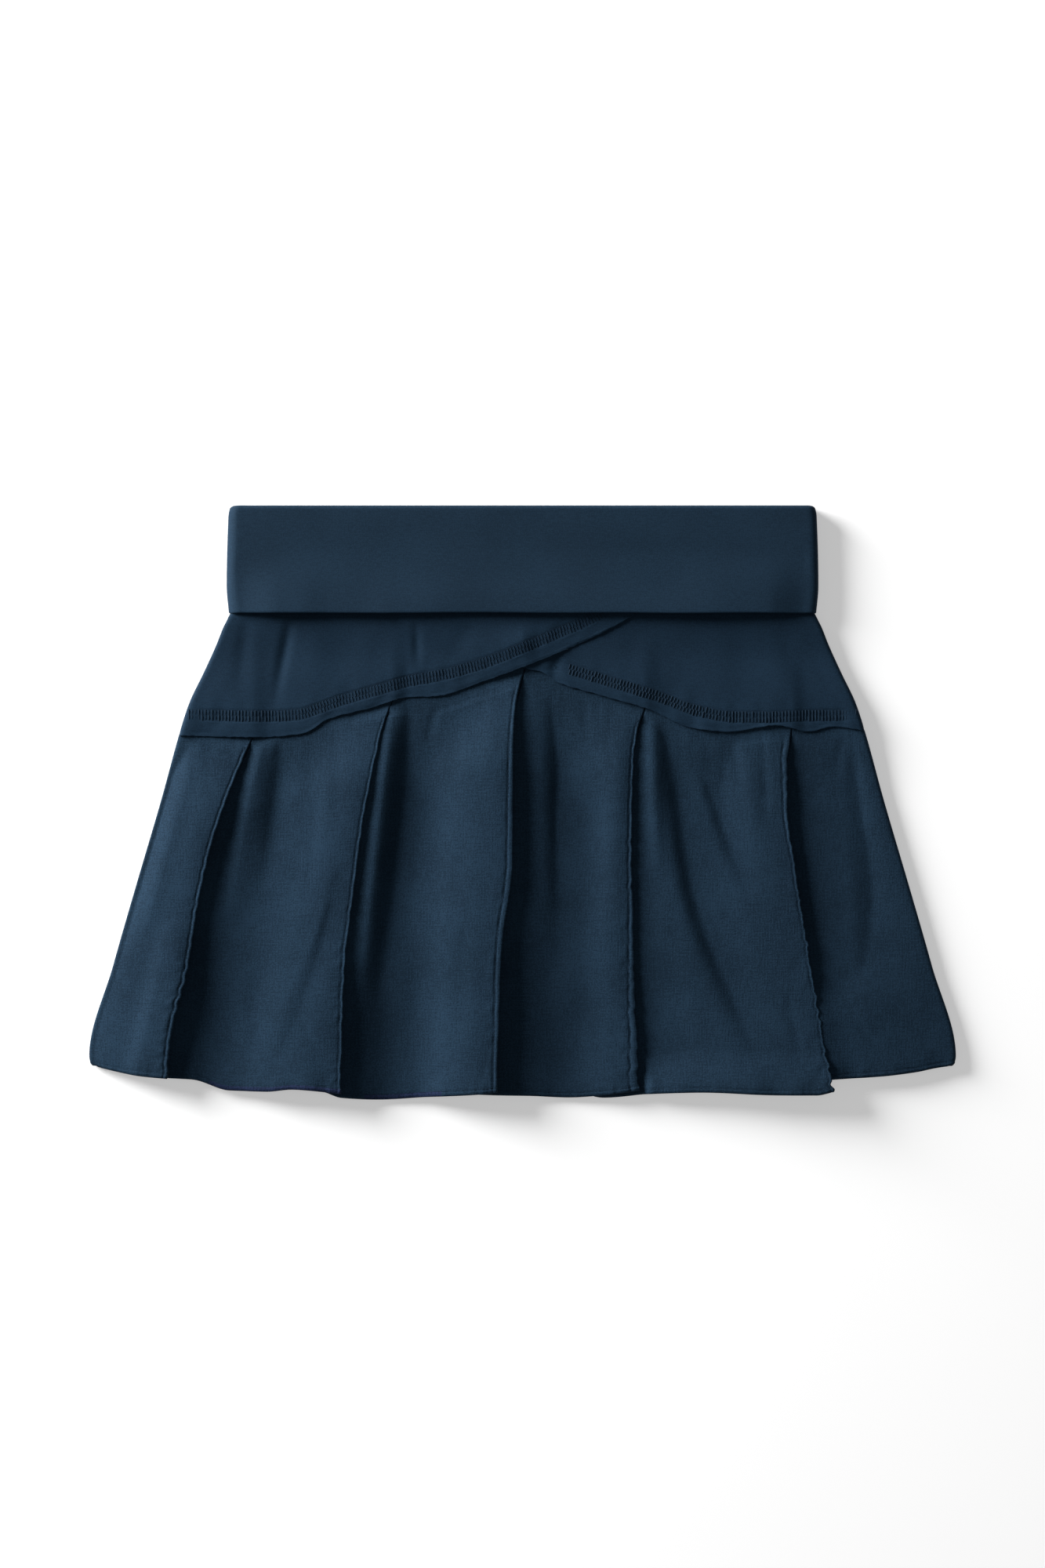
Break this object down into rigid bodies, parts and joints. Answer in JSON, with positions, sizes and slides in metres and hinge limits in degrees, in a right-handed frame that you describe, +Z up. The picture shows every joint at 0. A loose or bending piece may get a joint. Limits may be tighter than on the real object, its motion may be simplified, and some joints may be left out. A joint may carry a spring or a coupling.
{
  "type": "skort",
  "caption": "Navy pleated mini skort laid flat: wide fold-over jersey waistband, crossed raw-edged yokes, flared gored skirt with edge-stitched pleats over plain shorts",
  "frame": {"origin": "bottom centre of the bounding box: on the surface it lies on, midway across and midway along", "axes": "+X to the right of the front as seen from above, +Y towards the waist, +Z up from the surface that the back lies on"},
  "size_m": [0.498, 0.3411, 0.0139],
  "materials": {
    "jersey": "matt jersey knit, navy with a slight heather",
    "voile": "light crinkled plain-weave voile, navy, matt",
    "shorts_jersey": "plain matt jersey, navy"
  },
  "bodies": {
    "root": {"waistband": "jersey", "front_yoke_left": "jersey", "front_yoke_right": "jersey", "back_yoke": "jersey", "front_gore_1": "voile", "front_gore_2": "voile", "front_gore_3": "voile", "front_gore_4": "voile", "front_gore_5": "voile", "front_gore_6": "voile", "back_gore_1": "voile", "back_gore_2": "voile", "back_gore_3": "voile", "back_gore_4": "voile", "back_gore_5": "voile", "back_gore_6": "voile", "shorts_front_left": "shorts_jersey", "shorts_front_right": "shorts_jersey", "shorts_back_left": "shorts_jersey", "shorts_back_right": "shorts_jersey"}
  },
  "joints": []
}
